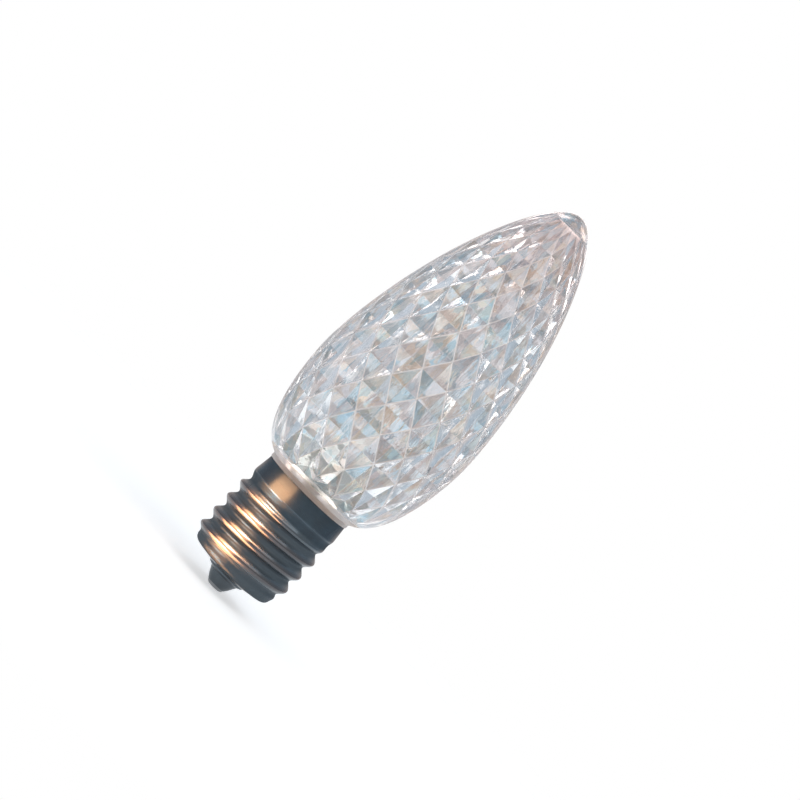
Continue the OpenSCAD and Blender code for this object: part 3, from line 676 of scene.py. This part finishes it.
def resistorFinish(p):
    # tan lacquer with four colour bands by height
    material, shader, tree, link = startMaterial("resistorBody", Metallic=0.0)
    z = objectPlace(tree, link)[1]
    low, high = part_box("dropper_resistor")
    ramp = tree.new("ShaderNodeValToRGB")
    ramp.color_ramp.interpolation = "CONSTANT"
    ramp.color_ramp.elements.remove(ramp.color_ramp.elements[1])
    ramp.color_ramp.elements[0].color = (*p["body"], 1)
    for spot, colour in p["bands"]:
        ramp.color_ramp.elements.new(spot).color = (*colour, 1)
        ramp.color_ramp.elements.new(spot + p["bandWidth"]).color = (*p["body"], 1)
    link(mapped(tree, link, z, low.z, high.z), ramp.inputs["Fac"])
    link(ramp.outputs["Color"], shader.inputs["Base Color"])
    grain = addGrain(tree, link, *p["grain"])
    link(grain.outputs["Roughness"], shader.inputs["Roughness"])
    addBump(tree, link, shader, grain.outputs["Height"], *p["bump"])
    return material


plainSurface = {
    "grainScale": 900.0,
    "stain": (360.0, 0.6),       # scale and amount
    "bump": (0.1, 0.00002),
}
# name, clean colour, dull colour, lowest and highest roughness
plain = {
    "insulator": ("blackGlass", (0.012, 0.014, 0.017), (0.03, 0.03, 0.034), 0.12, 0.3, {}),
    "contact": ("pressedContact", (0.12, 0.145, 0.165), (0.09, 0.10, 0.11), 0.2, 0.4, {"Metallic": 1.0}),
    "solder": ("dullSolder", (0.34, 0.35, 0.37), (0.22, 0.23, 0.24), 0.25, 0.5, {"Metallic": 1.0}),
    "holder": ("whiteMoulding", (0.93, 0.91, 0.87), (0.87, 0.84, 0.79), 0.35, 0.5, {}),
    "board": ("boardLacquer", (0.04, 0.2, 0.09), (0.03, 0.14, 0.07), 0.25, 0.4, {}),
    "wire": ("tinnedWire", (0.72, 0.73, 0.75), (0.5, 0.5, 0.52), 0.15, 0.3, {"Metallic": 1.0}),
    "copper": ("bareCopper", (0.75, 0.38, 0.2), (0.5, 0.25, 0.14), 0.2, 0.35, {"Metallic": 1.0}),
    "diode": ("blackMoulding", (0.02, 0.02, 0.022), (0.035, 0.035, 0.036), 0.4, 0.55, {}),
    "sleeve": ("whiteSleeve", (0.82, 0.82, 0.8), (0.7, 0.7, 0.67), 0.35, 0.5, {}),
    "glue": ("curedGlue", (0.92, 0.86, 0.76), (0.85, 0.78, 0.66), 0.3, 0.5, {}),
    "lamp": ("milkyLamp", (1.0, 0.97, 0.93), (0.96, 0.97, 1.0), 0.5, 0.6,
             {"Metallic": 0.0, "IOR": 1.54, "Transmission_Weight": 0.6}),
    "bead": ("yellowBead", (0.9, 0.62, 0.05), (0.8, 0.5, 0.04), 0.5, 0.65, {}),
}


def plainFinish(p, name, clean, dull, low, high, fixed):
    # the finish of a simple moulded, soldered or drawn piece
    material, shader, tree, link = startMaterial(name, **fixed)
    grain = addGrain(tree, link, p["grainScale"], low, high)
    link(addStain(tree, link, *p["stain"], clean, dull), shader.inputs["Base Color"])
    link(grain.outputs["Roughness"], shader.inputs["Roughness"])
    addBump(tree, link, shader, grain.outputs["Height"], *p["bump"])
    return material


finishes = {key: plainFinish(plainSurface, *row) for key, row in plain.items()}
finishes["resistor"] = resistorFinish(resistor)


def dress(node, material):
    mesh = nodes[node].data
    if not mesh.materials:
        mesh.materials.append(material)
    for slot in nodes[node].material_slots:
        slot.material = material


lampBodies = [f"led_{number}" for number in range(1, 6)]
for node, finish in {
    "neck_adhesive": "glue", "base_insulator": "insulator", "centre_contact": "contact",
    "contact_solder": "solder", "led_holder": "holder", "circuit_board": "board",
    "board_solder": "solder", "dropper_resistor": "resistor", "resistor_leads": "wire",
    "rectifier_diode": "diode", "diode_tabs": "wire", "neutral_wire": "sleeve",
    "neutral_core": "copper", "shell_solder": "solder",
}.items():
    dress(node, finishes[finish])
for body in lampBodies:
    dress(body, finishes["lamp"])
    dress(body + "_legs", finishes["wire"])
    dress(body + "_phosphor", finishes["bead"])
print("materials assigned")

bulbLens = makeLens(lens)
bulbLens.data.materials.append(lensFinish(plastic))
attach(bulbLens, "root")
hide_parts("lens")
print("lens:", len(bulbLens.data.polygons), "faces")

screwShell = makeShell(shell)
screwShell.data.materials.append(shellFinish(shell))
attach(screwShell, "root")
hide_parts("screw_shell")
print("shell:", len(screwShell.data.polygons), "faces")

view = {
    "frameWidth": 118.4,     # what the picture's width covers at the axis
    "distance": 520.0,
    "elevation": 2.7,        # degrees, as the roll is
    "roll": 45.0,
    "aim": (0.0, 0.0, 39.2),
    "sensor": 36.0,
    "nearest": 10.0,
}


def makeCamera(p):
    camera = bpy.data.cameras.new("camera")
    camera.sensor_width = p["sensor"]
    camera.lens = p["sensor"] * p["distance"] / p["frameWidth"]
    camera.clip_start = p["nearest"] * mm
    obj = bpy.data.objects.new("camera", camera)
    bpy.context.scene.collection.objects.link(obj)
    e = math.radians(p["elevation"])
    out = Vector((0, -math.cos(e), math.sin(e)))
    obj.location = Vector(p["aim"]) * mm + out * p["distance"] * mm
    turn = (-out).to_track_quat("-Z", "Y").to_matrix() @ Matrix.Rotation(math.radians(p["roll"]), 3, "Z")
    obj.rotation_euler = turn.to_euler()
    bpy.context.scene.camera = obj


floor = {
    "radius": 170.0,
    "height": -0.05,
    "sides": 96,
    "solidShare": 0.35,      # of the radius, before it thins out
    "colour": (0.9, 0.9, 0.9),
    "rough": 0.7,
    "glow": 0.5,
}


def makeFloor(p):
    # a pale disc just under the contact's foot that thins out towards its edge
    mesh = bpy.data.meshes.new("floor")
    ring = spun(np.array([[p["radius"], p["height"]]]), evenAngles(p["sides"]))
    mesh.from_pydata((ring * mm).tolist(), [], [list(range(p["sides"]))])
    obj = bpy.data.objects.new("floor", mesh)
    bpy.context.scene.collection.objects.link(obj)
    material, shader, tree, link = startMaterial("paleFloor", Roughness=p["rough"])
    feed(link, p["colour"], shader.inputs["Base Color"])
    shader.inputs["Emission Color"].default_value = (1, 1, 1, 1)
    path = tree.new("ShaderNodeLightPath")
    seen = calculated(tree, link, "MAXIMUM", path.outputs["Is Camera Ray"], path.outputs["Is Glossy Ray"])
    seen = calculated(tree, link, "MAXIMUM", seen, path.outputs["Is Transmission Ray"])
    link(calculated(tree, link, "MULTIPLY", seen, p["glow"]), shader.inputs["Emission Strength"])
    reach = vectorOf(tree, link, "LENGTH", tree.new("ShaderNodeTexCoord").outputs["Object"])
    link(mapped(tree, link, reach, p["radius"] * p["solidShare"] * mm, p["radius"] * mm,
                1.0, 0.0, smooth=True), shader.inputs["Alpha"])
    mesh.materials.append(material)


studio = {
    "backdrop": (10.0, 13.0),        # degrees from the middle of the picture, solid and faded out
    "white": (1.0, 1.0, 1.0),
    "nearWall": (0.67, 0.59, 0.565),  # beside the backdrop
    "farWall": (0.42, 0.495, 0.57),
    "wallDrift": (18.0, 52.0),       # degrees over which one turns into the other
    "driftSize": 2.2,
    "driftContrast": (0.35, 0.65),
    "driftDepth": 0.12,              # how far noise moves that change, in shares of it
    "room": (0.52, 0.55, 0.57),      # on the camera's side
    "roomReach": (70.0, 108.0),
    "patchSize": 8.0,                # how many patches of light and shade across the sky's radius
    "patchContrast": (0.3, 0.7),
    "patchDepth": 0.5,
}


def makeWorld(p):
    # a white backdrop behind the bulb, walls that turn from pink to cool beside it and a room on
    # the camera's side, each by the angle from the way that the camera looks
    world = bpy.data.worlds.new("studio")
    bpy.context.scene.world = world
    world.use_nodes = True
    tree, link = world.node_tree.nodes, world.node_tree.links.new
    place = tree.new("ShaderNodeTexCoord").outputs["Generated"]
    e = math.radians(view["elevation"])
    ahead = vectorOf(tree, link, "DOT_PRODUCT", place, (0, math.cos(e), -math.sin(e)))
    between = lambda reach: mapped(tree, link, ahead, math.cos(math.radians(reach[0])),
                                   math.cos(math.radians(reach[1])), smooth=True)
    drift = mapped(tree, link, noiseAt(tree, link, place, p["driftSize"], 1.0), *p["driftContrast"],
                   -p["driftDepth"], p["driftDepth"])
    toFar = calculated(tree, link, "ADD", between(p["wallDrift"]), drift)
    wall = blended(tree, link, toFar, p["nearWall"], p["farWall"])
    patches = mapped(tree, link, noiseAt(tree, link, place, p["patchSize"], 2.0), *p["patchContrast"],
                     1 - p["patchDepth"] / 2, 1 + p["patchDepth"] / 2)
    wall = vectorOf(tree, link, "MULTIPLY", wall, patches)
    around = blended(tree, link, between(p["roomReach"]), wall, p["room"])
    whole = blended(tree, link, between(p["backdrop"]), p["white"], around)
    link(whole, tree["Background"].inputs["Color"])


# azimuth 0 is at the camera and minus is to its left; sizes and the distance in millimetres
lamps = {
    "goldBox": {"azimuth": -44, "elevation": 0, "distance": 120, "width": 112, "height": 140,
                "power": 0.56, "colour": (1.0, 0.415, 0.165), "lights": "metal"},
    "goldHigh": {"azimuth": -62, "elevation": 58, "distance": 120, "width": 120, "height": 130,
                 "power": 0.9, "colour": (1.0, 0.415, 0.165), "lights": "metal"},
    "goldLow": {"azimuth": -62, "elevation": -58, "distance": 120, "width": 120, "height": 130,
                "power": 0.9, "colour": (1.0, 0.415, 0.165), "lights": "metal"},
    "coreHigh": {"azimuth": -52, "elevation": 46, "distance": 115, "width": 50, "height": 64,
                 "power": 0.17, "colour": (0.95, 1.0, 0.9), "lights": "metal"},
    "coreLow": {"azimuth": -52, "elevation": -46, "distance": 115, "width": 50, "height": 64,
                "power": 0.17, "colour": (0.95, 1.0, 0.9), "lights": "metal"},
    "sideBox": {"azimuth": -88, "elevation": 8, "distance": 340, "width": 140, "height": 420,
                "power": 0.38, "colour": (1.0, 0.82, 0.75), "lights": "clear"},
    "backBox": {"azimuth": 180, "elevation": 26, "distance": 380, "width": 320, "height": 120,
                "power": 0.4, "colour": (1.0, 0.95, 0.92), "lights": "clear"},
    "topBox": {"azimuth": 30, "elevation": 62, "distance": 420, "width": 300, "height": 300,
               "power": 0.3, "colour": (1.0, 1.0, 1.0), "lights": "all"},
    "neckBox": {"azimuth": 0, "elevation": 90, "distance": 16, "width": 20, "height": 20,
                "power": 0.017, "colour": (1.0, 0.94, 0.88), "lights": "inner"},
}
lampAim = (0.0, 0.0, 38.0)
pieces = {
    "metal": [screwShell],
    "clear": [bulbLens],
    "inner": [nodes[node] for node in ("led_holder", "neck_adhesive", *lampBodies)],
}


def makeLamps(p):
    # area lamps that face the bulb's middle; each lights either all pieces or one group of them
    groups = {}
    for key, members in pieces.items():
        groups[key] = bpy.data.collections.new(key + "Lit")
        for member in members:
            groups[key].objects.link(member)
    for name, row in p.items():
        light = bpy.data.lights.new(name, "AREA")
        light.shape = "RECTANGLE"
        light.size, light.size_y = row["width"] * mm, row["height"] * mm
        light.energy = row["power"]
        light.color = row["colour"]
        obj = bpy.data.objects.new(name, light)
        bpy.context.scene.collection.objects.link(obj)
        a, e = math.radians(row["azimuth"]), math.radians(row["elevation"])
        out = Vector((math.sin(a) * math.cos(e), -math.cos(a) * math.cos(e), math.sin(e)))
        obj.location = Vector(lampAim) * mm + out * row["distance"] * mm
        obj.rotation_euler = (-out).to_track_quat("-Z", "Y").to_euler()
        obj.visible_camera = False
        if row["lights"] in groups:
            obj.light_linking.receiver_collection = groups[row["lights"]]
        if row["lights"] in ("metal", "inner"):
            # neither the floor nor the lens stands in the way of these
            obj.light_linking.blocker_collection = groups[row["lights"]]
        # those for the metal only show in its reflections
        obj.visible_diffuse = row["lights"] != "metal"


makeCamera(view)
makeFloor(floor)
makeWorld(studio)
makeLamps(lamps)
bpy.context.scene.view_settings.view_transform = "Standard"
# light has to find its way out of the lens's wall, so paths may be longer than usual
bpy.context.scene.cycles.max_bounces = 28
bpy.context.scene.cycles.glossy_bounces = 16
bpy.context.scene.cycles.transmission_bounces = 24
print("stage, lamps and camera set")
